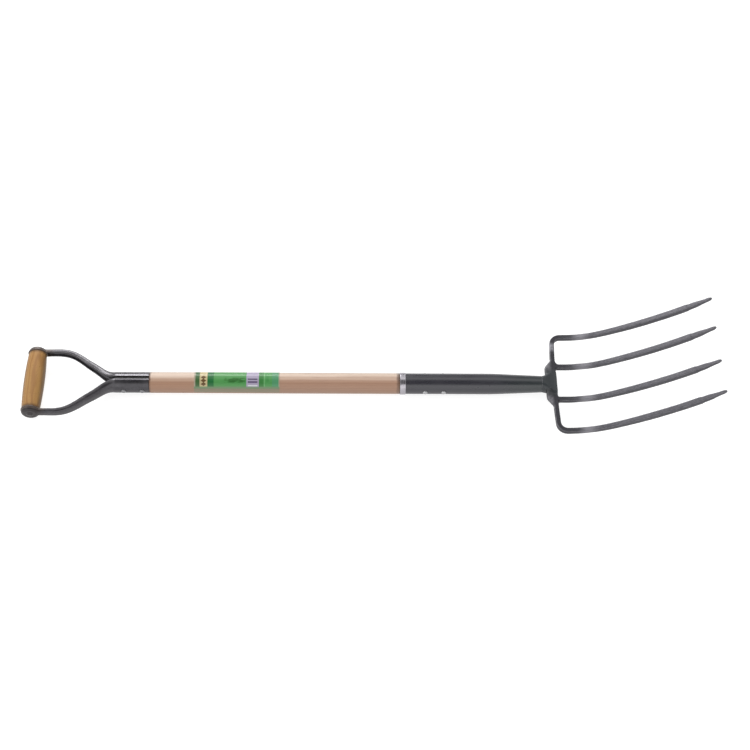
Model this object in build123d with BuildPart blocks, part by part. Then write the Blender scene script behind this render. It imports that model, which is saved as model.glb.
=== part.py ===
from build123d import *
from math import acos, cos, radians, sin
import os

# Digging fork: steel D-handle with a wooden grip, ash shaft, tubular socket and four square tines.
# Millimetres. The fork lies on its back with the tines curving upwards. X runs along the shaft from the
# grip (-X) to the tine tips (+X), Y runs across the tines and Z is up. The origin is under the middle of
# the fork's length, on the surface that it lies on.

os.makedirs("parts", exist_ok=True)

# ---------------------------------------------------------------- driving dimensions
# Shaft, ferrule and rivets
shaft_radius = 15.0
shaft_edge = 0.4
shaft_core_radius = 13.2
shaft_foot_x = 175.0
ferrule_radius = 15.9
ferrule_width = 8.2
ferrule_x = 52.7
ferrule_rim = 0.6
axis_z = ferrule_radius
rivet_radius = 2.5
handle_rivet_head = (3.6, 1.5)
socket_rivet_head = (3.5, 1.7)

# Socket
socket_mouth_x = 49.5
socket_taper_x = 182.0
socket_taper_blend = 600.0
socket_end_x = 253.0
socket_end_radius = 12.0
socket_wall = 1.7
socket_rivets_x = (85.0, 111.5)

# D-handle
grip_x = -475.4
grip_radius = 14.6
grip_end_radius = 12.8
grip_visible_half = 47.0
cup_radius = 13.2
cup_face_y = 54.6
cup_wall = 1.6
cup_corner = 5.0
cup_bead = 2.4
rod_radius = 3.1
rod_head_radius = 5.2
rod_head_height = 1.6
sheet = 1.7
seam_half = 1.6
arm_y = 50.8
arm_root_x = -467.0
arm_shoulder_x = -427.3
arm_neck_x = -368.2
arm_shoulder_radius = 50.0
arm_neck_radius = 24.0
shell_start_x = -358.6
shell_end_x = -310.2
handle_rivets_x = (-346.6, -320.4)

# Label
label_start_x = -246.0
label_end_x = -124.0
label_thickness = 0.25
label_edge_angle = 24.0

# Head
bar = 7.3
blade_bar = 8.2
bar_edge_radius = 1.1
crossbar_x = 271.9
crossbar_rise = 2.4
crossbar_sweep = 1.5
crossbar_bend_radius = 150.0
bow_corner_radius = 12.8
outer_tine_y = 79.8
inner_tine_y = 27.7
toe_in = 0.55
root_bend_radius = 142.0
root_bend_angle = 25.0
blade_bend_radius = 635.0
tine_end_angle = 40.3
blade_start = 0.1
blade_full = 0.6
tip_length = 39.0
tip_width = 3.7
nose_width = 2.2
hub_rear_x = 259.2
hub_half_width = 38.4
hub_rear_half_width = 26.5
hub_thickness = 7.8
hub_edge_radius = 2.4
hub_lobe_radius = 7.0
plug_length = 17.0
neck_half_width = 18.0
neck_half_depth = 5.4
neck_edge_radius = 3.5

# Weld beads at the tine roots: tine, side of that tine, reach along the crossbar and along the tine
root_welds = (
    (1, 1, 6.5, 4.5),
    (1, -1, 2.5, 2.5),
    (-1, -1, 3.5, 3.0),
    (-1, 1, 2.5, 2.5),
)
weld_hollow = 0.36

# ---------------------------------------------------------------- derived places
shoulder_x = ferrule_x - ferrule_width / 2 - 0.3
shell_y = (seam_half + shaft_radius) / 2
bar_z = axis_z + crossbar_rise
crossbar_rear_x = crossbar_x - bar / 2
crossbar_front_x = crossbar_x + bar / 2
tine_bend_x = crossbar_x + crossbar_sweep + bow_corner_radius
shaft_axis = Axis((0, 0, axis_z), (1, 0, 0))
grip_axis = Axis((grip_x, 0, axis_z), (0, 1, 0))
side_plane = Plane((0, 0, axis_z), x_dir=(1, 0, 0), z_dir=(0, -1, 0))
grip_plane = Plane((grip_x, 0, axis_z), x_dir=(0, 1, 0), z_dir=(0, 0, 1))


def station(x, y=0.0, z=axis_z):
    """Plane square to the shaft: its own x is +Y, its own y is +Z and it faces +X."""
    return Plane((x, y, z), x_dir=(0, 1, 0), z_dir=(1, 0, 0))


def crosswise(x, y, side=1):
    """Plane square to Y at the height of the shaft's axis, facing outwards on the given side."""
    return Plane((x, y * side, axis_z), x_dir=(1, 0, 0), z_dir=(0, side, 0))


def save(piece, name):
    piece.part.label = name
    export_step(piece.part, f"parts/{name}.step")


# ---------------------------------------------------------------- shaft
# Ash, full size between the handle and the ferrule, turned down at both ends to enter the steel.
with BuildPart() as shaft:
    with BuildSketch(side_plane):
        with BuildLine():
            Polyline(
                (shell_start_x + 1, 0),
                (shell_start_x + 1, shaft_core_radius),
                (shell_end_x + 0.3, shaft_core_radius),
                (shell_end_x + 0.3, shaft_radius - shaft_edge),
                (shell_end_x + 0.3 + shaft_edge, shaft_radius),
                (shoulder_x - shaft_edge, shaft_radius),
                (shoulder_x, shaft_radius - shaft_edge),
                (shoulder_x, shaft_core_radius),
                (shaft_foot_x, shaft_core_radius),
                (shaft_foot_x, 0),
                close=True,
            )
        make_face()
    revolve(axis=shaft_axis)
    for x in handle_rivets_x + socket_rivets_x:
        with BuildSketch(crosswise(x, 0)):
            Circle(rivet_radius)
        extrude(amount=2 * shaft_radius, both=True, mode=Mode.SUBTRACT)
save(shaft, "shaft")

# ---------------------------------------------------------------- label
# Printed film stuck over the top of the shaft; its long edges lie a little above mid height.
with BuildPart() as label:
    with BuildSketch(station(label_start_x)):
        Circle(shaft_radius + label_thickness)
        Circle(shaft_radius, mode=Mode.SUBTRACT)
        with BuildLine(mode=Mode.PRIVATE) as label_wedge:
            reach = 2 * shaft_radius
            edge_y = reach * cos(radians(label_edge_angle))
            edge_z = reach * sin(radians(label_edge_angle))
            Polyline(
                (0, 0),
                (edge_y, edge_z),
                (edge_y, reach),
                (-edge_y, reach),
                (-edge_y, edge_z),
                close=True,
            )
        add(make_face(label_wedge.edges(), mode=Mode.PRIVATE), mode=Mode.INTERSECT)
    extrude(amount=label_end_x - label_start_x)
save(label, "label")

# ---------------------------------------------------------------- ferrule
# Bright ring pressed over the joint of the shaft and the socket.
with BuildPart() as ferrule:
    with BuildSketch(side_plane):
        with Locations((ferrule_x, (shaft_radius + ferrule_radius) / 2)):
            Rectangle(ferrule_width, ferrule_radius - shaft_radius)
    revolve(axis=shaft_axis)
    rims = ferrule.edges().filter_by(GeomType.CIRCLE).sort_by(SortBy.RADIUS)[-2:]
    fillet(rims, radius=ferrule_rim)
save(ferrule, "ferrule")

# ---------------------------------------------------------------- socket
# Welded tube: parallel over the shaft's foot, then tapering to the forged hub.
with BuildPart() as socket:
    with BuildSketch(side_plane):
        with BuildLine():
            FilletPolyline(
                (socket_mouth_x, shaft_radius),
                (socket_taper_x, shaft_radius),
                (socket_end_x, socket_end_radius),
                radius=socket_taper_blend,
            )
            Polyline(
                (socket_end_x, socket_end_radius),
                (socket_end_x, socket_end_radius - socket_wall),
                (socket_taper_x, shaft_core_radius),
                (socket_mouth_x, shaft_core_radius),
                (socket_mouth_x, shaft_radius),
            )
        make_face()
    revolve(axis=shaft_axis)
    for x in socket_rivets_x:
        with BuildSketch(crosswise(x, 0)):
            Circle(rivet_radius)
        extrude(amount=2 * shaft_radius, both=True, mode=Mode.SUBTRACT)
save(socket, "socket")


# ---------------------------------------------------------------- rivets
def rivet_row(stations, head_radius, head_height):
    """Solid rivets through the shaft along Y, each with a domed head on both sides."""
    with BuildPart() as rivets:
        for x in stations:
            for side in (1, -1):
                with BuildSketch(crosswise(x, shaft_radius - 1, side)):
                    Circle(head_radius)
                extrude(amount=1 + head_height)
        rims = rivets.edges().filter_by(GeomType.CIRCLE).filter_by(
            lambda edge: abs(edge.center().Y) > shaft_radius
        )
        fillet(rims, radius=head_height * 0.95)
        with BuildSketch(station(stations[0] - 2 * head_radius)):
            Circle(shaft_radius)
        extrude(amount=stations[-1] - stations[0] + 4 * head_radius, mode=Mode.SUBTRACT)
        for x in stations:
            with BuildSketch(crosswise(x, 0)):
                Circle(rivet_radius)
            extrude(amount=shaft_radius + 0.3, both=True)
    return rivets


handle_rivets = rivet_row(handle_rivets_x, *handle_rivet_head)
save(handle_rivets, "handle_rivets")
socket_rivets = rivet_row(socket_rivets_x, *socket_rivet_head)
save(socket_rivets, "socket_rivets")

# ---------------------------------------------------------------- grip
# Barrel-shaped turned grip; a short spigot at each end enters the handle's cup.
with BuildPart() as grip:
    with BuildSketch(grip_plane):
        spigot = cup_radius - cup_wall - 0.1
        grip_end_y = cup_face_y - cup_wall - 0.1
        with BuildLine():
            ThreePointArc(
                (-grip_visible_half, grip_end_radius), (0, grip_radius), (grip_visible_half, grip_end_radius)
            )
            Polyline(
                (grip_visible_half, grip_end_radius),
                (grip_visible_half, spigot),
                (grip_end_y, spigot),
                (grip_end_y, rod_radius),
                (-grip_end_y, rod_radius),
                (-grip_end_y, spigot),
                (-grip_visible_half, spigot),
                (-grip_visible_half, grip_end_radius),
            )
        make_face()
    revolve(axis=grip_axis)
save(grip, "grip")

# Rod through the grip, peened to a low dome outside each cup.
with BuildPart() as grip_rod:
    with BuildSketch(grip_plane):
        head_y = cup_face_y + rod_head_height
        with BuildLine():
            Line((-head_y, 0), (head_y, 0))
            for side in (1, -1):
                RadiusArc(
                    (side * head_y, 0),
                    (side * cup_face_y, rod_head_radius),
                    -side * (rod_head_radius**2 + rod_head_height**2) / (2 * rod_head_height),
                )
                Line((side * cup_face_y, rod_head_radius), (side * cup_face_y, rod_radius))
            Line((-cup_face_y, rod_radius), (cup_face_y, rod_radius))
        make_face()
    revolve(axis=grip_axis)
save(grip_rod, "grip_rod")


# ---------------------------------------------------------------- handle arms
def channel_section(plane, width, half_depth, squareness):
    """Pressed channel open towards the handle's middle: half a superellipse, one sheet thick."""
    with BuildSketch(plane) as section:
        with BuildLine():
            curves = []
            for inset in (0, sheet):
                across = width + seam_half - inset
                deep = half_depth - inset
                lip = acos((seam_half / across) ** (squareness / 2))
                points = []
                for step in range(-6, 7):
                    angle = lip * step / 6
                    u = across * cos(angle) ** (2 / squareness) - seam_half - width / 2
                    v = deep * abs(sin(angle)) ** (2 / squareness) * (1 if angle > 0 else -1)
                    points.append((u, v))
                curves.append(Spline(*points))
            for end in (0, 1):
                Line(curves[0] @ end, curves[1] @ end)
        make_face()
    return section.sketch


def shell_section(plane):
    """Half of the tube that clasps the shaft, drawn about the shaft's own axis."""
    with BuildSketch(plane) as section:
        with BuildLine():
            curves = []
            for radius in (shaft_radius, shaft_radius - sheet):
                lip = acos(seam_half / radius)
                ends = [(radius * cos(a) - shell_y, radius * sin(a)) for a in (-lip, lip)]
                curves.append(ThreePointArc(ends[0], (radius - shell_y, 0), ends[1]))
            for end in (0, 1):
                Line(curves[0] @ end, curves[1] @ end)
        make_face()
    return section.sketch


# Share of the arm's length, channel width, half depth and squareness of the corners.
arm_stations = (
    (0.00, 6.3, 6.2, 4.2),
    (0.11, 6.4, 6.4, 4.2),
    (0.22, 6.6, 6.7, 4.2),
    (0.33, 6.9, 7.1, 4.1),
    (0.44, 7.3, 7.6, 4.0),
    (0.55, 7.7, 8.2, 3.8),
    (0.66, 8.1, 8.8, 3.6),
    (0.77, 8.6, 9.4, 3.4),
    (0.88, 9.8, 10.8, 2.9),
    (0.95, 11.7, 12.9, 2.4),
)


def handle_arm(side):
    """Half-shell on the shaft, S-curved channel and the cup for the grip, pressed from one sheet."""
    with BuildLine() as path:
        FilletPolyline(
            (arm_root_x, side * arm_y, axis_z),
            (arm_shoulder_x, side * arm_y, axis_z),
            (arm_neck_x, side * shell_y, axis_z),
            (shell_start_x, side * shell_y, axis_z),
            radius=(arm_shoulder_radius, arm_neck_radius),
        )
    route = path.wires()[0]
    shell_plane = Plane((shell_start_x, side * shell_y, axis_z), x_dir=(0, side, 0), z_dir=(1, 0, 0))
    sections = []
    for share, width, half_depth, squareness in arm_stations:
        heading = route % share
        outward = Vector(-heading.Y, heading.X, 0) * side
        plane = Plane(route @ share, x_dir=outward, z_dir=heading)
        sections.append(channel_section(plane, width, half_depth, squareness))
    shell_face = shell_section(shell_plane)
    inner_radius = cup_radius - cup_wall
    with BuildPart() as cup:
        with BuildSketch(grip_plane):
            rim = side * grip_visible_half
            bead_end = side * (grip_visible_half + cup_bead)
            face = side * cup_face_y
            floor = side * (cup_face_y - cup_wall)
            shoulder = side * (cup_face_y - cup_corner)
            bend = cup_corner * (1 - cos(radians(45)))
            with BuildLine():
                ThreePointArc(
                    (rim, cup_radius),
                    ((rim + bead_end) / 2, cup_radius + cup_bead / 3),
                    (bead_end, cup_radius),
                )
                Line((bead_end, cup_radius), (shoulder, cup_radius))
                ThreePointArc(
                    (shoulder, cup_radius),
                    (face - side * bend, cup_radius - bend),
                    (face, cup_radius - cup_corner),
                )
                Polyline(
                    (face, cup_radius - cup_corner),
                    (face, rod_radius),
                    (floor, rod_radius),
                    (floor, inner_radius),
                    (rim, inner_radius),
                    (rim, cup_radius),
                )
            make_face()
        revolve(axis=grip_axis)
    with BuildPart() as arm:
        loft(sections + [shell_face])
        extrude(shell_face, amount=shell_end_x - shell_start_x)
        with BuildSketch(crosswise(grip_x, grip_visible_half - cup_corner, side)):
            Circle(inner_radius)
        extrude(amount=cup_face_y - cup_wall - grip_visible_half + cup_corner, mode=Mode.SUBTRACT)
        add(cup)
        for x in handle_rivets_x:
            with BuildSketch(crosswise(x, 0, side)):
                Circle(rivet_radius)
            extrude(amount=2 * shaft_radius, mode=Mode.SUBTRACT)
    return arm


for name, side in (("handle_arm_left", 1), ("handle_arm_right", -1)):
    save(handle_arm(side), name)

# ---------------------------------------------------------------- tines
def bar_section(plane, width):
    """Square bar with eased edges."""
    with BuildSketch(plane) as section:
        RectangleRounded(width, width, bar_edge_radius * width / bar)
    return section.sketch


def tine(start_x, start_y, lead, turn):
    """Square tine in an upright plane: straight lead, root bend, long blade bend and tapered tip."""
    heading = Vector(cos(radians(turn)), sin(radians(turn)), 0)
    upright = Plane((start_x, start_y, bar_z), x_dir=heading, z_dir=heading.cross(Vector(0, 0, 1)))
    with BuildLine(upright) as path:
        root = Line((0, 0), (lead, 0))
        bend = JernArc(root @ 1, root % 1, root_bend_radius, root_bend_angle)
        JernArc(bend @ 1, bend % 1, blade_bend_radius, tine_end_angle - root_bend_angle)
    route = path.wires()[0]

    def section(share, width):
        return bar_section(Plane(route @ share, x_dir=upright.z_dir, z_dir=route % share), width)

    taper_start = 1 - tip_length / route.length
    blade = []
    for step in range(9):
        share = blade_start + (taper_start - blade_start) * step / 8
        grown = min(1, (share - blade_start) / (blade_full - blade_start))
        blade.append(section(share, bar + (blade_bar - bar) * grown * grown * (3 - 2 * grown)))
    taper = []
    for left in (1.0, 0.75, 0.5, 0.25, 0.08):
        taper.append(section(1 - (1 - taper_start) * left, tip_width + (blade_bar - tip_width) * left))
    with BuildPart() as piece:
        sweep(section(0, bar), path=route.trim(0, blade_start))
        loft(blade)
        loft(taper + [section(1, nose_width)])
    return piece


for name, side in (("inner_tine_left", 1), ("inner_tine_right", -1)):
    inner_tine = tine(crossbar_front_x, side * inner_tine_y, tine_bend_x - crossbar_front_x, 0)
    save(inner_tine, name)

# The outer pair and the crossbar are one bar, bent at two corners.
corners = []
starts = []
outer_tines = []
for side in (1, -1):
    corner = Vector(crossbar_x + crossbar_sweep, side * outer_tine_y, bar_z)
    heading = Vector(cos(radians(toe_in)), -side * sin(radians(toe_in)), 0)
    start = corner + heading * bow_corner_radius
    corners.append(corner)
    starts.append(start)
    outer_tines.append(tine(start.X, start.Y, 0.5, -side * toe_in))
with BuildPart() as outer_tine_bow:
    for outer_tine in outer_tines:
        add(outer_tine)
    with BuildLine() as crossbar_path:
        FilletPolyline(
            starts[0],
            corners[0],
            (crossbar_x, hub_half_width + 3, bar_z),
            (crossbar_x, -hub_half_width - 3, bar_z),
            corners[1],
            starts[1],
            radius=(bow_corner_radius, crossbar_bend_radius, crossbar_bend_radius, bow_corner_radius),
        )
    crossbar_route = crossbar_path.wires()[0]
    crossbar_start = Plane(starts[0], x_dir=(0, 0, 1), z_dir=crossbar_route % 0)
    sweep(bar_section(crossbar_start, bar), path=crossbar_route)
save(outer_tine_bow, "outer_tine_bow")


# ---------------------------------------------------------------- hub
def neck_section(x, half_width, half_depth, rise, corner):
    """Rounded section across the neck, its middle raised above the shaft's axis."""
    with BuildSketch(station(x, z=axis_z + rise)) as section:
        RectangleRounded(2 * half_width, 2 * half_depth, corner)
    return section.sketch


# Distance from the socket's end, half width, half depth, rise and corner radius.
neck_stations = (
    (0.0, socket_end_radius, socket_end_radius, 0.0, socket_end_radius - 0.01),
    (5.0, 12.6, 10.8, 0.3, 9.5),
    (11.0, 15.6, 8.2, 1.2, 6.0),
    (crossbar_front_x - socket_end_x, neck_half_width, neck_half_depth, crossbar_rise, neck_edge_radius),
)
neck = [neck_section(socket_end_x + ahead, *shape) for ahead, *shape in neck_stations]
taper_slope = (socket_end_radius - socket_wall - shaft_core_radius) / (socket_end_x - socket_taper_x)
plug_x = socket_end_x - plug_length

# Forging between socket and crossbar: plug in the socket, neck flattening over the bar, and a web with
# a sloping lobe behind each inner tine.
with BuildPart() as hub:
    with BuildSketch(Plane.XY.offset(bar_z)) as web:
        with BuildLine():
            Polyline(
                (crossbar_rear_x, hub_half_width),
                (hub_rear_x, hub_rear_half_width),
                (hub_rear_x, -hub_rear_half_width),
                (crossbar_rear_x, -hub_half_width),
                close=True,
            )
        make_face()
        fillet(web.vertices().group_by(Axis.X)[0], radius=hub_lobe_radius)
    extrude(amount=hub_thickness / 2, both=True)
    web_rims = hub.edges().group_by(Axis.Z)[0] + hub.edges().group_by(Axis.Z)[-1]
    fillet(web_rims.filter_by_position(Axis.X, hub_rear_x - 1, crossbar_rear_x - 0.5), radius=hub_edge_radius)
    loft(neck)
    with BuildSketch(side_plane):
        with BuildLine():
            Polyline(
                (plug_x, 0),
                (plug_x, shaft_core_radius + taper_slope * (plug_x - socket_taper_x)),
                (socket_end_x, socket_end_radius - socket_wall),
                (socket_end_x, 0),
                close=True,
            )
        make_face()
    revolve(axis=shaft_axis)
    add(outer_tine_bow, mode=Mode.SUBTRACT)
save(hub, "hub")

# ---------------------------------------------------------------- weld beads at the inner tine roots
with BuildPart() as tine_root_welds:
    with BuildSketch(Plane.XY.offset(bar_z)):
        for tine_side, flank, along_bar, along_tine in root_welds:
            root_y = tine_side * inner_tine_y + flank * bar / 2
            with BuildLine():
                Polyline(
                    (crossbar_front_x, root_y + flank * along_bar),
                    (crossbar_front_x, root_y),
                    (crossbar_front_x + along_tine, root_y),
                )
                ThreePointArc(
                    (crossbar_front_x + along_tine, root_y),
                    (crossbar_front_x + along_tine * weld_hollow, root_y + flank * along_bar * weld_hollow),
                    (crossbar_front_x, root_y + flank * along_bar),
                )
            make_face()
    extrude(amount=bar / 2 - bar_edge_radius, both=True)
save(tine_root_welds, "tine_root_welds")
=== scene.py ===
import math

import bmesh
import bpy
from mathutils import Matrix, Vector, noise


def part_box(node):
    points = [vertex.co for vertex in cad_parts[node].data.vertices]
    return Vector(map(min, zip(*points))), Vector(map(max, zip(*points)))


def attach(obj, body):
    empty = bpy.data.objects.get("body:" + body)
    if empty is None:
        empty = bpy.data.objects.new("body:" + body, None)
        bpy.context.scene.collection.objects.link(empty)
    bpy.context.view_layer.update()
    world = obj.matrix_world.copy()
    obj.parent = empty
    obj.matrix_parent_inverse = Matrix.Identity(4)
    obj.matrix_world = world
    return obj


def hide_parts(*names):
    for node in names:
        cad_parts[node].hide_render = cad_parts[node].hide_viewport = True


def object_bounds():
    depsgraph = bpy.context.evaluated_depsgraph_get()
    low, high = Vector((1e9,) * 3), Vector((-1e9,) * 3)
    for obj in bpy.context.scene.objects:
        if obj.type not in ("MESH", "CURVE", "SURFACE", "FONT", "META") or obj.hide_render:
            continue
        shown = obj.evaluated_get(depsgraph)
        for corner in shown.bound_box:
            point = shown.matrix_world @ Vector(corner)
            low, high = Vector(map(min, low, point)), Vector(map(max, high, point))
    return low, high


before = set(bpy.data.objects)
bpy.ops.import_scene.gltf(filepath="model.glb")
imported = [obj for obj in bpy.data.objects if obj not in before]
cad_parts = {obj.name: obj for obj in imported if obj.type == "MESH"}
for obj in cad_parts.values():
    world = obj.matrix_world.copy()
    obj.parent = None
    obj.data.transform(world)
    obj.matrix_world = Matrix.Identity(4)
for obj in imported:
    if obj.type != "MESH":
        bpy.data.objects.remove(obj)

cad_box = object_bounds()

# ---------------------------------------------------------------- places taken from the CAD
GRIP_SPIGOT = 0.0060
HALF_BAR = 0.0036

AXIS_Z = sum(corner.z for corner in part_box("shaft")) / 2
LABEL_LOW, LABEL_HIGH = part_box("label")
FERRULE_LOW, FERRULE_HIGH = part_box("ferrule")
GRIP_LOW, GRIP_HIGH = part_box("grip")
SHELL_END_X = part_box("handle_arm_left")[1].x
SOCKET_END_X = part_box("socket")[1].x
CUP_RIM_Y = GRIP_HIGH.y - GRIP_SPIGOT
CROSSBAR_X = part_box("outer_tine_bow")[0].x + HALF_BAR

# ---------------------------------------------------------------- camera
VIEW_ELEVATION = math.radians(57.0)
VIEW_TURN = math.radians(1.51)
VIEW_ROLL = math.radians(0.27)
VIEW_DISTANCE = 2.12
VIEW_SLIDE = (-0.0397, 0.0124)
LENS = 70.56


def add_camera():
    """Camera above the near side, looking down across the fork at its ferrule."""
    ahead = Vector((0, math.cos(VIEW_ELEVATION), -math.sin(VIEW_ELEVATION)))
    right = Vector((1, 0, 0))
    up = Vector((0, math.sin(VIEW_ELEVATION), math.cos(VIEW_ELEVATION)))
    turned_ahead = ahead * math.cos(VIEW_TURN) + right * math.sin(VIEW_TURN)
    turned_right = right * math.cos(VIEW_TURN) - ahead * math.sin(VIEW_TURN)
    rolled_right = turned_right * math.cos(VIEW_ROLL) + up * math.sin(VIEW_ROLL)
    rolled_up = up * math.cos(VIEW_ROLL) - turned_right * math.sin(VIEW_ROLL)
    place = (FERRULE_LOW + FERRULE_HIGH) / 2 - turned_ahead * VIEW_DISTANCE
    place += rolled_right * VIEW_SLIDE[0] + rolled_up * VIEW_SLIDE[1]
    data = bpy.data.cameras.new("camera")
    data.lens = LENS
    camera = bpy.data.objects.new("camera", data)
    axes = Matrix((rolled_right, rolled_up, -turned_ahead)).transposed()
    camera.matrix_world = Matrix.Translation(place) @ axes.to_4x4()
    bpy.context.scene.collection.objects.link(camera)
    bpy.context.scene.camera = camera


# ---------------------------------------------------------------- node building
class Graph:
    """A material's node tree with short ways to add the nodes used here."""

    def __init__(self, name):
        self.material = bpy.data.materials.new(name)
        self.material.use_nodes = True
        self.tree = self.material.node_tree
        self.tree.nodes.clear()
        self.shader = self.tree.nodes.new("ShaderNodeBsdfPrincipled")
        output = self.tree.nodes.new("ShaderNodeOutputMaterial")
        self.tree.links.new(self.shader.outputs["BSDF"], output.inputs["Surface"])
        self.place = self.tree.nodes.new("ShaderNodeTexCoord").outputs["Object"]
        split = self.tree.nodes.new("ShaderNodeSeparateXYZ")
        self.tree.links.new(self.place, split.inputs[0])
        self.x, self.y, self.z = split.outputs

    def feed(self, socket, value):
        """Links a socket, or sets its value; a colour of three parts gets a full alpha."""
        if isinstance(value, bpy.types.NodeSocket):
            self.tree.links.new(value, socket)
        elif isinstance(value, tuple) and len(value) == 3 and socket.type == "RGBA":
            socket.default_value = (*value, 1)
        else:
            socket.default_value = value

    def set(self, **values):
        """Sets the shader's inputs; an underscore stands for a space in the input's name."""
        for name, value in values.items():
            self.feed(self.shader.inputs[name.replace("_", " ")], value)

    def math(self, operation, *values):
        made = self.tree.nodes.new("ShaderNodeMath")
        made.operation = operation
        for socket, value in zip(made.inputs, values):
            self.feed(socket, value)
        return made.outputs[0]

    def times(self, first, *others):
        product = first
        for other in others:
            product = self.math("MULTIPLY", product, other)
        return product

    def plus(self, first, second):
        return self.math("ADD", first, second)

    def minus(self, first, second):
        return self.math("SUBTRACT", first, second)

    def larger(self, first, second):
        return self.math("MAXIMUM", first, second)

    def unsigned(self, value):
        return self.math("ABSOLUTE", value)

    def convex(self):
        """Cycles' pointiness: above 0.5 on outer edges, below on inner corners."""
        return self.tree.nodes.new("ShaderNodeNewGeometry").outputs["Pointiness"]

    def round_shaft(self):
        """Angle round the shaft's axis in radians: 0 on top, growing towards the near side."""
        return self.math("ARCTAN2", self.times(self.y, -1.0), self.minus(self.z, AXIS_Z))

    def noise(self, scales, detail=3.0, rough=0.5):
        """Noise with its own scale along each axis, stretched along the axis scaled least."""
        scaled = self.tree.nodes.new("ShaderNodeMapping")
        self.feed(scaled.inputs["Vector"], self.place)
        scaled.inputs["Scale"].default_value = scales
        made = self.tree.nodes.new("ShaderNodeTexNoise")
        self.feed(made.inputs["Vector"], scaled.outputs[0])
        self.feed(made.inputs["Scale"], 1.0)
        self.feed(made.inputs["Detail"], detail)
        self.feed(made.inputs["Roughness"], rough)
        return made.outputs["Fac"]

    def rings(self, first, second, wander, spacing):
        """Wave over growth rings round the pith, from the two distances to it."""
        square = self.plus(self.times(first, first), self.times(second, second))
        reach = self.plus(self.math("SQRT", square), wander)
        return self.math("SINE", self.times(reach, 2 * math.pi / spacing))

    def span(self, value, low, high, to_low=0.0, to_high=1.0):
        """Value carried smoothly from low..high to to_low..to_high and held beyond."""
        made = self.tree.nodes.new("ShaderNodeMapRange")
        made.interpolation_type = "SMOOTHSTEP"
        for socket, number in zip(made.inputs, (value, low, high, to_low, to_high)):
            self.feed(socket, number)
        return made.outputs[0]

    def band(self, value, low, high, soft):
        """1 between low and high, 0 outside, with soft edges."""
        rise = self.span(value, low - soft, low + soft)
        fall = self.span(value, high - soft, high + soft, 1.0, 0.0)
        return self.times(rise, fall)

    def mix(self, share, first, second):
        made = self.tree.nodes.new("ShaderNodeMix")
        made.data_type = "RGBA"
        for socket, value in zip((made.inputs[0], made.inputs[6], made.inputs[7]), (share, first, second)):
            self.feed(socket, value)
        return made.outputs[2]

    def bump(self, height, depth, strength):
        made = self.tree.nodes.new("ShaderNodeBump")
        self.feed(made.inputs["Height"], height)
        self.feed(made.inputs["Distance"], depth)
        self.feed(made.inputs["Strength"], strength)
        return made.outputs[0]


def srgb(red, green, blue):
    """Linear colour from 0-255 display values."""
    def linear(value):
        value /= 255
        return value / 12.92 if value <= 0.04045 else ((value + 0.055) / 1.055) ** 2.4

    return linear(red), linear(green), linear(blue)


def shade(factor, colour):
    return tuple(factor * part for part in colour)


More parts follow.
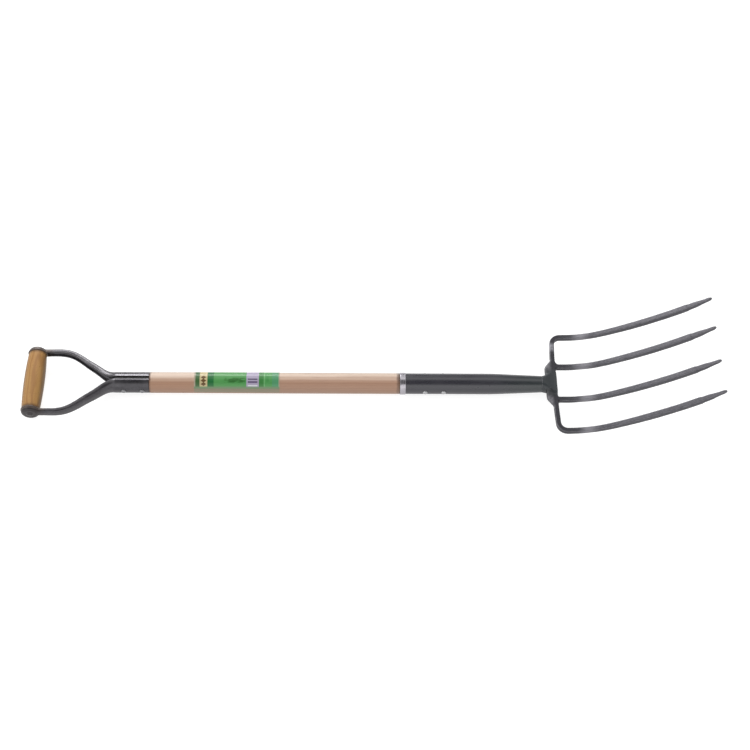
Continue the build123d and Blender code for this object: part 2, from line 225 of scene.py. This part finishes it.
# ---------------------------------------------------------------- materials
def shaft_wood():
    """Pale ash: growth rings along the shaft, fine open pores, a slow drift of tone, darker bands by the
    ferrule and the handle, painted shade on the near side and painted light on the top and far side.
    """
    heartwood, drifted = srgb(172, 137, 116), srgb(160, 122, 98)
    handle_end, sapwood_and_painted_light = srgb(164, 122, 92), srgb(196, 177, 161)
    ring_line, fibre, pore = srgb(142, 107, 88), srgb(150, 118, 100), srgb(112, 82, 64)
    darkened_band, in_steel, under_film = srgb(70, 50, 40), srgb(26, 23, 22), srgb(112, 116, 97)
    painted_flank_shade, painted_near_shade, painted_far_light = srgb(134, 103, 82), srgb(128, 107, 94), srgb(160, 150, 140)
    pith_y, pith_z, ring_spacing = -0.021, -0.012, 0.0031
    film_start, film_end = 0.95, 1.75

    g = Graph("shaft_wood")
    drift = g.noise((4, 30, 30), 2.0)
    wander = g.times(g.minus(g.noise((3.2, 40, 40), 2.0), 0.5), 0.010)
    rings = g.rings(g.minus(g.y, pith_y), g.minus(g.z, pith_z), wander, ring_spacing)
    rings = g.span(rings, -0.6, 1.0)
    fibres = g.noise((14, 900, 900), 3.0, 0.6)
    pores = g.span(g.noise((60, 1900, 1900), 2.0), 0.60, 0.72)
    lit_side_sapwood = g.plus(g.plus(g.y, g.minus(g.z, AXIS_Z)), g.times(wander, 0.8))

    colour = g.mix(drift, heartwood, drifted)
    colour = g.mix(g.span(g.x, -0.30, -0.05, 0.5, 0.0), colour, handle_end)
    # Paler towards the top and far side: partly sapwood, partly painted light.
    colour = g.mix(g.span(lit_side_sapwood, 0.002, 0.021), colour, sapwood_and_painted_light)
    colour = g.mix(g.times(rings, 0.30), colour, ring_line)
    colour = g.mix(g.times(fibres, 0.25), colour, fibre)
    colour = g.mix(g.times(pores, g.span(rings, 0.2, 1.0, 0.1, 0.45)), colour, pore)

    # Darker bands on the wood: painted shade at the shoulder beside the ferrule, and a darker band beside
    # the handle's shells.
    blotch = g.noise((35, 120, 120))
    ferrule_shoulder_shade = g.span(g.plus(g.x, g.times(blotch, 0.004)),
                            FERRULE_LOW.x - 0.0045, FERRULE_LOW.x - 0.0005, 0.0, 0.8)
    after_shell = g.span(g.minus(g.x, g.times(blotch, 0.003)),
                         SHELL_END_X - 0.001, SHELL_END_X + 0.0022, 0.85, 0.0)
    colour = g.mix(g.larger(ferrule_shoulder_shade, after_shell), colour, darkened_band)

    # Painted shade darkens the shaft's upper near flank and its near side, and painted light brightens its
    # far side; the label's clear margin goes on round the near side.
    turn = g.round_shaft()
    colour = g.mix(g.span(turn, 0.15, 0.7, 0.0, 0.38), colour, painted_flank_shade)
    colour = g.mix(g.span(turn, 0.7, 1.7, 0.0, 0.5), colour, painted_near_shade)
    colour = g.mix(g.span(turn, -0.8, -0.35, 0.5, 0.0), colour, painted_far_light)
    film = g.times(g.band(g.x, LABEL_LOW.x, LABEL_HIGH.x, 0.0006), g.band(turn, film_start, film_end, 0.05))
    colour = g.mix(g.times(film, 0.7), colour, under_film)
    # Inside the handle's shells the wood is near-black: partly dark paint, partly painted shade where it
    # shows in the seam.
    colour = g.mix(g.span(g.x, SHELL_END_X - 0.0005, SHELL_END_X, 1.0, 0.0), colour, in_steel)

    height = g.plus(g.times(fibres, 0.7), g.times(pores, -0.9))
    g.set(Base_Color=colour, Roughness=g.span(fibres, 0.3, 0.7, 0.42, 0.58), Specular_IOR_Level=0.35,
          Normal=g.bump(height, 0.00012, 0.55), Coat_Weight=0.06, Coat_Roughness=0.3)
    return g.material


def grip_wood():
    """Honey-coloured varnished beech, grain across the handle, darker towards the ends, with painted shade
    on its front and back.
    """
    honey, drifted = srgb(160, 127, 76), srgb(150, 103, 52)
    ring_line, fibre, fleck = srgb(116, 74, 34), srgb(146, 106, 56), srgb(84, 54, 32)
    end_dark, painted_barrel_shade = srgb(58, 42, 32), srgb(92, 72, 48)
    pith_x, pith_z, ring_spacing = GRIP_LOW.x - 0.012, -0.006, 0.0042
    middle_x = (GRIP_LOW.x + GRIP_HIGH.x) / 2
    radius = (GRIP_HIGH.x - GRIP_LOW.x) / 2

    g = Graph("grip_wood")
    drift = g.noise((60, 14, 60), 3.0, 0.55)
    wander = g.times(g.minus(g.noise((55, 9, 55), 2.0), 0.5), 0.014)
    rings = g.rings(g.minus(g.x, pith_x), g.minus(g.z, pith_z), wander, ring_spacing)
    rings = g.span(rings, -0.4, 1.0)
    fibres = g.noise((1100, 26, 1100), 3.0, 0.6)
    flecks = g.span(g.noise((1500, 240, 1500), 1.0), 0.64, 0.74)

    colour = g.mix(drift, honey, drifted)
    colour = g.mix(g.times(rings, 0.45), colour, ring_line)
    colour = g.mix(g.times(fibres, 0.30), colour, fibre)
    colour = g.mix(g.times(flecks, 0.5), colour, fleck)
    # Darker towards the ends, beside the cups.
    toward_ends = g.span(g.unsigned(g.y), GRIP_HIGH.y - 0.0115, GRIP_HIGH.y - 0.0055, 0.0, 0.7)
    colour = g.mix(toward_ends, colour, end_dark)
    # Painted shade darkens the front and back of the barrel.
    off_middle = g.plus(g.unsigned(g.minus(g.x, middle_x)), g.times(drift, 0.003))
    colour = g.mix(g.span(off_middle, 0.70 * radius, 1.08 * radius, 0.0, 0.75), colour, painted_barrel_shade)

    height = g.plus(fibres, g.times(flecks, -0.8))
    g.set(Base_Color=colour, Roughness=g.span(drift, 0.3, 0.7, 0.42, 0.56), Specular_IOR_Level=0.25,
          Coat_Weight=0.06, Coat_Roughness=0.25, Normal=g.bump(height, 0.0001, 0.5))
    return g.material


def steel(g, dark, light):
    """Dark finished steel: cloudy tone, fine scale, rubbed patches and darker inner corners."""
    cloud = g.noise((28, 60, 60), 4.0, 0.6)
    grit = g.noise((260, 260, 260), 5.0, 0.65)
    colour = g.mix(g.span(cloud, 0.3, 0.7), dark, light)
    colour = g.mix(g.times(g.span(grit, 0.35, 0.75), 0.35), colour, shade(0.55, dark))
    rubbed = g.span(g.noise((90, 90, 90), 4.0, 0.7), 0.58, 0.72, 0.0, 0.2)
    colour = g.mix(rubbed, colour, shade(1.9, light))
    corner = g.span(g.convex(), 0.40, 0.49, 0.6, 0.0)
    return g.mix(corner, colour, shade(0.4, dark)), cloud, grit


def handle_steel():
    """Lacquered pressed steel, browner at the cups, with its sheet edges rubbed bright and painted as
    highlights, painted highlights on the cups' rims and the seam's lips, and painted shade in the seam.
    """
    dark, light = srgb(52, 50, 54), srgb(70, 68, 72)
    cup_brown, rim_highlight_brown = srgb(34, 25, 23), srgb(92, 78, 70)
    seam_shade, bare_and_highlight = srgb(16, 15, 16), srgb(186, 184, 190)
    # Y of the two sheet edges beside the seam of the half-shells, painted as highlights, and of the gap
    # between them, painted dark as shade.
    far_lip_y, near_lip_y, gap_y = (0.0012, 0.0034), (-0.0048, -0.0029), (-0.0027, 0.0010)

    g = Graph("handle_steel")
    colour, cloud, grit = steel(g, dark, light)
    cups = g.span(g.x, GRIP_HIGH.x - 0.004, GRIP_HIGH.x + 0.012, 0.8, 0.0)
    colour = g.mix(cups, colour, cup_brown)
    # Painted highlight: a paler brown band round each cup's rim.
    rim_highlight = g.times(cups, g.band(g.unsigned(g.y), CUP_RIM_Y - 0.0004, CUP_RIM_Y + 0.0042, 0.0006))
    colour = g.mix(g.times(rim_highlight, 0.7), colour, rim_highlight_brown)

    # Sheet edges rubbed bare, painted brighter as highlights.
    wear_and_highlight = g.times(g.span(g.convex(), 0.515, 0.550), g.span(cloud, 0.3, 0.6, 0.2, 0.45),
                   g.span(cups, 0.2, 0.8, 1.0, 0.25),
                   g.span(g.x, SHELL_END_X - 0.066, SHELL_END_X - 0.052, 1.0, 0.0))
    top = g.span(g.z, AXIS_Z + 0.010, AXIS_Z + 0.013)
    # Painted highlight along the two sheet lips on top of the shells.
    lips = g.larger(g.times(g.band(g.y, *far_lip_y, 0.0004), 0.25), g.band(g.y, *near_lip_y, 0.0003))
    lips = g.times(lips, top, g.span(g.x, SHELL_END_X - 0.055, SHELL_END_X - 0.045, 0.0, 0.9))
    # Painted shade fills the seam between the half-shells.
    seam = g.times(g.band(g.y, *gap_y, 0.0003), top,
                   g.span(g.x, SHELL_END_X - 0.060, SHELL_END_X - 0.050))
    edge = g.times(g.larger(wear_and_highlight, lips), g.minus(1.0, seam))
    colour = g.mix(g.times(seam, 0.9), colour, seam_shade)
    colour = g.mix(edge, colour, bare_and_highlight)

    g.set(Base_Color=colour,
          Metallic=g.times(g.span(edge, 0.0, 1.0, 0.6, 1.0), g.span(cups, 0.1, 0.8, 1.0, 0.5)),
          Roughness=g.plus(g.span(cloud, 0.25, 0.75, 0.26, 0.36), g.times(cups, 0.12)),
          Coat_Weight=g.span(cups, 0.1, 0.8, 0.25, 0.04), Coat_Roughness=0.26,
          Normal=g.bump(grit, 0.00002, 0.5))
    return g.material


def tine_steel():
    """Forged blades and crossbar, painted dark in the middle of the head, with painted highlights at the
    root bends and painted shade towards the roots.
    """
    dark, light = srgb(59, 58, 63), srgb(73, 72, 77)
    drawn_line, painted_bend_highlight, painted_root_shade = srgb(112, 111, 116), srgb(150, 148, 154), srgb(44, 43, 48)
    scuff_and_highlight_grey, lobe_bare_and_highlight = srgb(150, 149, 155), srgb(118, 117, 121)
    paint_green, painted_crease_shade, bare_and_highlight = srgb(31, 37, 40), srgb(20, 23, 25), srgb(132, 131, 136)

    g = Graph("tine_steel")
    colour, cloud, grit = steel(g, dark, light)

    def behind(low, high):
        """1 towards the socket, falling to 0 between these two distances ahead of the crossbar."""
        return g.span(g.x, CROSSBAR_X + low, CROSSBAR_X + high, 1.0, 0.0)

    drawn = g.noise((45, 800, 800), 3.0, 0.6)
    colour = g.mix(g.span(drawn, 0.45, 0.75, 0.0, 0.35), colour, drawn_line)
    # Painted highlight on the tines' root bends.
    bend = g.band(g.plus(g.x, g.times(cloud, 0.012)), CROSSBAR_X + 0.040, CROSSBAR_X + 0.058, 0.008)
    colour = g.mix(g.times(bend, 0.45), colour, painted_bend_highlight)
    # Painted shade on the crossbar and the tines' roots.
    root = g.span(g.plus(g.x, g.times(cloud, 0.01)), CROSSBAR_X + 0.006, CROSSBAR_X + 0.040, 1.0, 0.0)
    colour = g.mix(g.times(root, 0.75), colour, painted_root_shade)
    # Painted highlight on the crossbar's far bend.
    far_bend_highlight = g.times(g.band(g.y, 0.055, 0.067, 0.004), behind(0.001, 0.007))
    colour = g.mix(g.times(far_bend_highlight, g.span(grit, 0.3, 0.6, 0.4, 0.9)), colour, scuff_and_highlight_grey)

    # The socket's paint ends on the hub's lobes, which are bare steel with painted highlight, and painted
    # shade darkens a crease on the near side.
    away = g.plus(g.unsigned(g.y), g.times(grit, 0.006))
    lobes = g.times(g.band(away, 0.022, 0.046, 0.003), behind(-0.006, -0.001))
    colour = g.mix(g.times(lobes, g.span(grit, 0.3, 0.65, 0.3, 0.8)), colour, lobe_bare_and_highlight)
    painted = g.times(g.span(away, 0.018, 0.030, 1.0, 0.0), behind(0.002, 0.008))
    colour = g.mix(painted, colour, paint_green)
    crease = g.times(g.band(g.y, -0.024, -0.012, 0.003), behind(-0.004, 0.002))
    colour = g.mix(g.times(crease, 0.7), colour, painted_crease_shade)
    # Edges rubbed bare, painted brighter as highlights.
    edge = g.times(g.span(g.convex(), 0.508, 0.53), g.span(grit, 0.35, 0.6, 0.1, 0.45))
    colour = g.mix(edge, colour, bare_and_highlight)

    g.set(Base_Color=colour, Metallic=g.span(painted, 0.0, 1.0, 0.7, 0.05),
          Roughness=g.plus(g.span(cloud, 0.25, 0.75, 0.38, 0.5), g.times(grit, 0.08)),
          Coat_Weight=0.08, Coat_Roughness=0.35,
          Normal=g.bump(g.plus(grit, g.times(drawn, 0.5)), 0.0001, 0.6))
    return g.material


def black_paint():
    """Brushed-on enamel of the socket, greener towards the hub, with a fine orange peel."""
    black, green_black = srgb(42, 41, 48), srgb(34, 41, 42)
    faded, brush_line = srgb(50, 50, 56), srgb(26, 27, 30)

    g = Graph("black_paint")
    cloud = g.noise((18, 50, 50), 3.0, 0.6)
    peel = g.noise((520, 520, 520), 2.0)
    streak = g.noise((30, 700, 700), 3.0, 0.6)
    colour = g.mix(g.span(g.x, SOCKET_END_X - 0.09, SOCKET_END_X), black, green_black)
    colour = g.mix(g.span(cloud, 0.3, 0.75, 0.0, 0.5), colour, faded)
    colour = g.mix(g.times(g.span(streak, 0.45, 0.8), 0.25), colour, brush_line)

    height = g.plus(peel, g.times(streak, 0.5))
    g.set(Base_Color=colour, Metallic=0.0, IOR=1.53, Roughness=g.span(cloud, 0.3, 0.7, 0.26, 0.38),
          Coat_Weight=0.15, Coat_Roughness=0.2, Normal=g.bump(height, 0.00005, 0.6))
    return g.material


def bright_metal(name, tone, rough, mark_scales):
    """Plated steel with turning marks, faint scratches and dull spots."""
    handle_finish = srgb(84, 82, 86)

    g = Graph(name)
    marks = g.noise(mark_scales, 3.0, 0.6)
    spots = g.noise((340, 340, 340), 4.0, 0.65)
    colour = g.mix(g.span(spots, 0.4, 0.8, 0.0, 0.6), tone, shade(0.6, tone))
    # At the handle end the metal keeps the handle's dark finish.
    colour = g.mix(g.span(g.x, SHELL_END_X, SHELL_END_X + 0.05, 0.6, 0.0), colour, handle_finish)

    roughness = g.plus(g.span(marks, 0.3, 0.7, rough - 0.05, rough + 0.08), g.times(spots, 0.06))
    g.set(Base_Color=colour, Metallic=1.0, Roughness=roughness, Normal=g.bump(marks, 0.00002, 0.5))
    return g.material


LABEL_EDGE = srgb(150, 140, 122)
LABEL_BANDS = (
    # start and end along the label as shares of its length, colour
    (0.017, 0.067, srgb(48, 86, 44)),
    (0.067, 0.157, srgb(176, 162, 122)),
    (0.157, 0.231, srgb(0, 94, 44)),
    (0.231, 0.613, srgb(66, 134, 70)),
    (0.613, 0.759, srgb(150, 142, 164)),
    (0.759, 0.815, srgb(42, 112, 50)),
    (0.815, 0.914, srgb(64, 134, 70)),
    (0.914, 0.990, srgb(64, 130, 90)),
    (0.990, 1.000, LABEL_EDGE),
)
LABEL_BARS = (
    # degrees round the shaft from its top, colour
    (9.0, 15.2, srgb(48, 38, 70)),
    (23.0, 33.0, srgb(88, 76, 106)),
    (45.0, 51.0, srgb(196, 202, 202)),
)
DIAMOND_SHARE = 0.112
DIAMOND_HALF_SHARE = 0.034
DIAMOND_TURNS = (2.0, 21.0, 40.0)
DIAMOND_HALF_TURN = 11.0


def label_film():
    """Glossy printed film: bands of green and cream, a pale panel with plain bars, clear lower margin."""
    print_smudge, diamond_brown = srgb(30, 92, 34), srgb(78, 50, 14)
    rule_green, patch_green, scuff_and_highlight_grey = srgb(104, 162, 106), srgb(52, 122, 62), srgb(150, 140, 120)
    clear_upper, clear_lower = srgb(100, 124, 92), srgb(112, 120, 100)

    g = Graph("label_film")
    share = g.math("DIVIDE", g.minus(g.x, LABEL_LOW.x), LABEL_HIGH.x - LABEL_LOW.x)
    turn = g.times(g.round_shaft(), 180 / math.pi)
    colour = LABEL_EDGE
    for start, end, band_colour in LABEL_BANDS:
        colour = g.mix(g.band(share, start, end + 0.01, 0.0022), colour, band_colour)

    # A soft darker patch in the green.
    smudge = g.span(g.noise((130, 210, 210), 3.0, 0.6), 0.38, 0.53, 0.0, 0.95)
    patch = g.times(g.band(share, 0.36, 0.60, 0.02), g.band(turn, 4.0, 32.0, 4.0), smudge)
    colour = g.mix(patch, colour, print_smudge)

    # Three plain diamonds in the cream band.
    for diamond_turn in DIAMOND_TURNS:
        along = g.math("DIVIDE", g.unsigned(g.minus(share, DIAMOND_SHARE)), DIAMOND_HALF_SHARE)
        across = g.math("DIVIDE", g.unsigned(g.minus(turn, diamond_turn)), DIAMOND_HALF_TURN)
        colour = g.mix(g.span(g.plus(along, across), 0.9, 1.1, 0.95, 0.0), colour, diamond_brown)

    # Three plain bars on the pale panel, and a rule and a darker patch in the green after it.
    in_panel = g.band(share, 0.630, 0.742, 0.003)
    for low, high, bar_colour in LABEL_BARS:
        colour = g.mix(g.times(in_panel, g.band(turn, low, high, 0.6)), colour, bar_colour)
    colour = g.mix(g.band(share, 0.818, 0.826, 0.003), colour, rule_green)
    patch = g.times(g.band(share, 0.845, 0.875, 0.006), g.band(turn, -6.0, 28.0, 8.0))
    colour = g.mix(patch, colour, patch_green)

    # The clear margin on the near side lets the wood through; the far edge is plain.
    clear = g.mix(g.span(turn, 58.0, 84.0), clear_upper, clear_lower)
    colour = g.mix(g.span(turn, 47.0, 60.0), colour, clear)
    colour = g.mix(g.span(turn, -60.0, -56.0, 1.0, 0.0), colour, LABEL_EDGE)

    wrinkle = g.noise((50, 160, 160), 3.0, 0.6)
    grain = g.noise((14, 900, 900), 2.0)
    colour = g.mix(g.times(grain, 0.10), colour, scuff_and_highlight_grey)
    g.set(Base_Color=colour, Roughness=0.4, Specular_IOR_Level=0.15, Coat_Weight=0.26, Coat_Roughness=0.16,
          Normal=g.bump(g.plus(wrinkle, g.times(grain, 0.3)), 0.00018, 0.4))
    return g.material


def floor_paper():
    """Pale matt studio paper that glows a little, so that its shadows stay faint."""
    g = Graph("floor_paper")
    mottle = g.noise((6, 6, 6), 4.0, 0.6)
    g.set(Base_Color=g.mix(mottle, (0.36, 0.36, 0.36), (0.38, 0.38, 0.38)), Roughness=0.9,
          Emission_Color=(1.0, 1.0, 1.0), Emission_Strength=0.80, Specular_IOR_Level=0.1,
          Normal=g.bump(g.noise((900, 900, 900)), 0.00005, 0.2))
    return g.material


MATERIALS = {
    "shaft_wood": shaft_wood(),
    "grip_wood": grip_wood(),
    "black_paint": black_paint(),
    "label_film": label_film(),
    "bright_steel": bright_metal("bright_steel", srgb(166, 163, 169), 0.24, (1800, 60, 60)),
    "rivet_steel": bright_metal("rivet_steel", srgb(170, 170, 172), 0.26, (700, 700, 700)),
    "handle_steel": handle_steel(),
    "tine_steel": tine_steel(),
}
NODE_SLOTS = {
    "shaft": "shaft_wood",
    "label": "label_film",
    "ferrule": "bright_steel",
    "socket": "black_paint",
    "hub": "black_paint",
    "socket_rivets": "rivet_steel",
    "handle_rivets": "rivet_steel",
    "grip": "grip_wood",
    "grip_rod": "handle_steel",
    "handle_arm_left": "handle_steel",
    "handle_arm_right": "handle_steel",
    "outer_tine_bow": "tine_steel",
    "inner_tine_left": "tine_steel",
    "inner_tine_right": "tine_steel",
    "tine_root_welds": "tine_steel",
}


def paint(piece, slot_name):
    piece.data.materials.clear()
    piece.data.materials.append(MATERIALS[slot_name])


for node_name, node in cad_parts.items():
    paint(node, NODE_SLOTS[node_name])


# ---------------------------------------------------------------- shapes finer than the CAD's
# Smoothing passes that equally many swelling passes undo, so that they only take out the voxels' steps.
EVEN_PASSES = 12
SOFTEN, SWELL = 0.5, -0.52


def blended(name, nodes, voxel, passes):
    """The CAD nodes' meshes joined into one skin, with its edges and inner corners softened."""
    joined = bmesh.new()
    for node_name in nodes:
        joined.from_mesh(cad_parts[node_name].data)
    source = bpy.data.meshes.new(name + "_source")
    joined.to_mesh(source)
    joined.free()
    holder = bpy.data.objects.new(name + "_source", source)
    bpy.context.scene.collection.objects.link(holder)
    skin = holder.modifiers.new("skin", "REMESH")
    skin.mode = "VOXEL"
    skin.voxel_size = voxel
    for step, factor, count in (("soften", SOFTEN, passes + EVEN_PASSES), ("swell", SWELL, EVEN_PASSES)):
        smooth = holder.modifiers.new(step, "SMOOTH")
        smooth.factor = factor
        smooth.iterations = count
    graph = bpy.context.evaluated_depsgraph_get()
    mesh = bpy.data.meshes.new_from_object(holder.evaluated_get(graph))
    bpy.data.objects.remove(holder)
    mesh.name = name
    return mesh


def forge(mesh, depth, length):
    """Slight hand-forged unevenness: each point moves inwards by up to the given depth."""
    normals = [vertex.normal.copy() for vertex in mesh.vertices]
    for vertex, normal in zip(mesh.vertices, normals):
        swing = noise.noise(vertex.co / length) + 0.5 * noise.noise(vertex.co / length * 2.7)
        vertex.co -= normal * depth * (0.5 + 0.5 * max(-1, min(1, swing)))


def round_off(mesh, picked, passes):
    """Smooths only the vertices picked, which rounds the corners there."""
    work = bmesh.new()
    work.from_mesh(mesh)
    chosen = [vertex for vertex in work.verts if picked(vertex.co)]
    for _ in range(passes):
        bmesh.ops.smooth_vert(work, verts=chosen, factor=SOFTEN,
                              use_axis_x=True, use_axis_y=True, use_axis_z=True)
    work.to_mesh(mesh)
    work.free()


def on_hub_lobe(place):
    """Behind the crossbar, where the hub's two lobes are."""
    return place.x < CROSSBAR_X + 0.002 and 0.012 < abs(place.y) < 0.042


def add_piece(name, mesh, slot_name, *nodes):
    """A new piece on the fork that stands for these CAD nodes."""
    piece = bpy.data.objects.new(name, mesh)
    bpy.context.scene.collection.objects.link(piece)
    for face in mesh.polygons:
        face.use_smooth = True
    paint(piece, slot_name)
    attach(piece, "root")
    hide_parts(*nodes)


HEAD_NODES = ("hub", "outer_tine_bow", "inner_tine_left", "inner_tine_right", "tine_root_welds")
head = blended("fork_head", HEAD_NODES, 0.00055, 5)
round_off(head, on_hub_lobe, 26)
forge(head, 0.00022, 0.012)
add_piece("fork_head", head, "tine_steel", *HEAD_NODES)

for side_name in ("left", "right"):
    arm = blended("handle_" + side_name, ("handle_arm_" + side_name,), 0.00042, 4)
    forge(arm, 0.00010, 0.010)
    add_piece("handle_" + side_name, arm, "handle_steel", "handle_arm_" + side_name)


# ---------------------------------------------------------------- studio
CEILING_TILT = math.radians(74)
WORLD_LOBES = (
    # direction, cosines from it at which the light starts and stops changing, strength at each of them
    ((0, -math.cos(CEILING_TILT), math.sin(CEILING_TILT)), (0.82, 0.93), (1.0, 0.08)),
    ((0, 1, 0), (0.33, 0.95), (1.78, 0.30)),
    ((0, -1, 0), (0.86, 1.0), (1.0, 0.88)),
    ((1, 0, 0), (0.2, 0.85), (1.0, 0.4)),
    ((-1, 0, 0), (0.75, 0.97), (1.0, 0.45)),
)
SOFTBOX_PLACE = Vector((-0.5, 1.25, 0.72))
SOFTBOX_TARGET = Vector((-0.12, 0, 0))
SOFTBOX_SIZE = (0.9, 0.5)
SOFTBOX_POWER = 17
FLOOR_HALF = 6.0
FLOOR_GAP = 0.0002


def add_softbox():
    """Rectangular lamp behind the fork, a little to the left."""
    data = bpy.data.lights.new("softbox", "AREA")
    data.shape = "RECTANGLE"
    data.size, data.size_y = SOFTBOX_SIZE
    data.energy = SOFTBOX_POWER
    lamp = bpy.data.objects.new("softbox", data)
    lamp.location = SOFTBOX_PLACE
    lamp.rotation_euler = (SOFTBOX_TARGET - SOFTBOX_PLACE).to_track_quat("-Z", "Y").to_euler()
    bpy.context.scene.collection.objects.link(lamp)


def add_world():
    """White surroundings at low angles and a darker ceiling over the camera's side."""
    world = bpy.data.worlds.new("studio")
    bpy.context.scene.world = world
    world.use_nodes = True
    tree = world.node_tree
    background = tree.nodes["Background"]
    background.inputs["Color"].default_value = (1, 1, 1, 1)
    place = tree.nodes.new("ShaderNodeTexCoord").outputs["Generated"]

    def lobe(axis, cosines, strengths):
        lean = tree.nodes.new("ShaderNodeVectorMath")
        lean.operation = "DOT_PRODUCT"
        tree.links.new(place, lean.inputs[0])
        lean.inputs[1].default_value = axis
        ramp = tree.nodes.new("ShaderNodeMapRange")
        ramp.interpolation_type = "SMOOTHSTEP"
        tree.links.new(lean.outputs["Value"], ramp.inputs[0])
        for socket, number in zip(ramp.inputs[1:5], cosines + strengths):
            socket.default_value = number
        return ramp.outputs[0]

    lobes = [lobe(*facts) for facts in WORLD_LOBES]
    strength = lobes[0]
    for factor in lobes[1:]:
        product = tree.nodes.new("ShaderNodeMath")
        product.operation = "MULTIPLY"
        tree.links.new(strength, product.inputs[0])
        tree.links.new(factor, product.inputs[1])
        strength = product.outputs[0]
    tree.links.new(strength, background.inputs["Strength"])


def add_floor():
    """Wide flat floor just under the fork."""
    mesh = bpy.data.meshes.new("floor")
    level = cad_box[0].z - FLOOR_GAP
    corners = [(x * FLOOR_HALF, y * FLOOR_HALF, level) for x, y in ((-1, -1), (1, -1), (1, 1), (-1, 1))]
    mesh.from_pydata(corners, [], [(0, 1, 2, 3)])
    floor = bpy.data.objects.new("floor", mesh)
    mesh.materials.append(floor_paper())
    bpy.context.scene.collection.objects.link(floor)


add_camera()
add_world()
add_floor()
add_softbox()
bpy.context.scene.view_settings.view_transform = "Standard"
